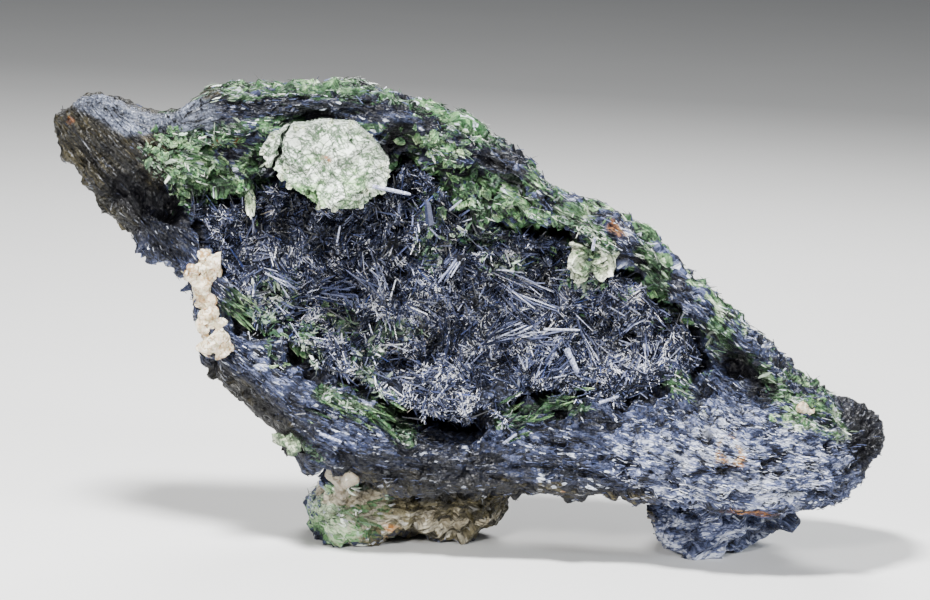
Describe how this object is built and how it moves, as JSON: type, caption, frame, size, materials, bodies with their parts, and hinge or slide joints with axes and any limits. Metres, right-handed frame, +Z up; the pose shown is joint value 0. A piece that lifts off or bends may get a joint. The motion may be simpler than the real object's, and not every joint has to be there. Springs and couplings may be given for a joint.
{
  "type": "glaucophane mineral specimen",
  "caption": "Broken piece of blue glaucophane schist with a crystal-lined hollow in its front, pale green mica and cream calcite on its rim, standing on two lumps of its own rock",
  "frame": {"origin": "centre of the footprint box, on the surface the specimen stands on", "axes": "+X to the right of someone facing the hollow, along the specimen's length; +Y away from them, out of the broken back; +Z up"},
  "size_m": [0.101, 0.0286, 0.0569],
  "materials": {
    "schist": "rough broken schist, blue-grey with green and brown patches",
    "glaucophane": "vitreous dark blue needles",
    "mica": "pearly pale green sheets",
    "calcite": "cream grains, slightly glassy"
  },
  "bodies": {
    "root": {"schist_matrix": "schist", "glaucophane_crust": "glaucophane", "mica_book": "mica", "mica_rosette": "mica", "mica_flake_upper": "mica", "mica_patch_left": "mica", "mica_tooth_left": "mica", "mica_tuft_low": "mica", "mica_blade_left": "mica", "mica_blade_low": "mica", "mica_lens_low": "mica", "calcite_vein": "calcite", "calcite_grains_low": "calcite", "calcite_grain_right": "calcite"}
  },
  "joints": []
}
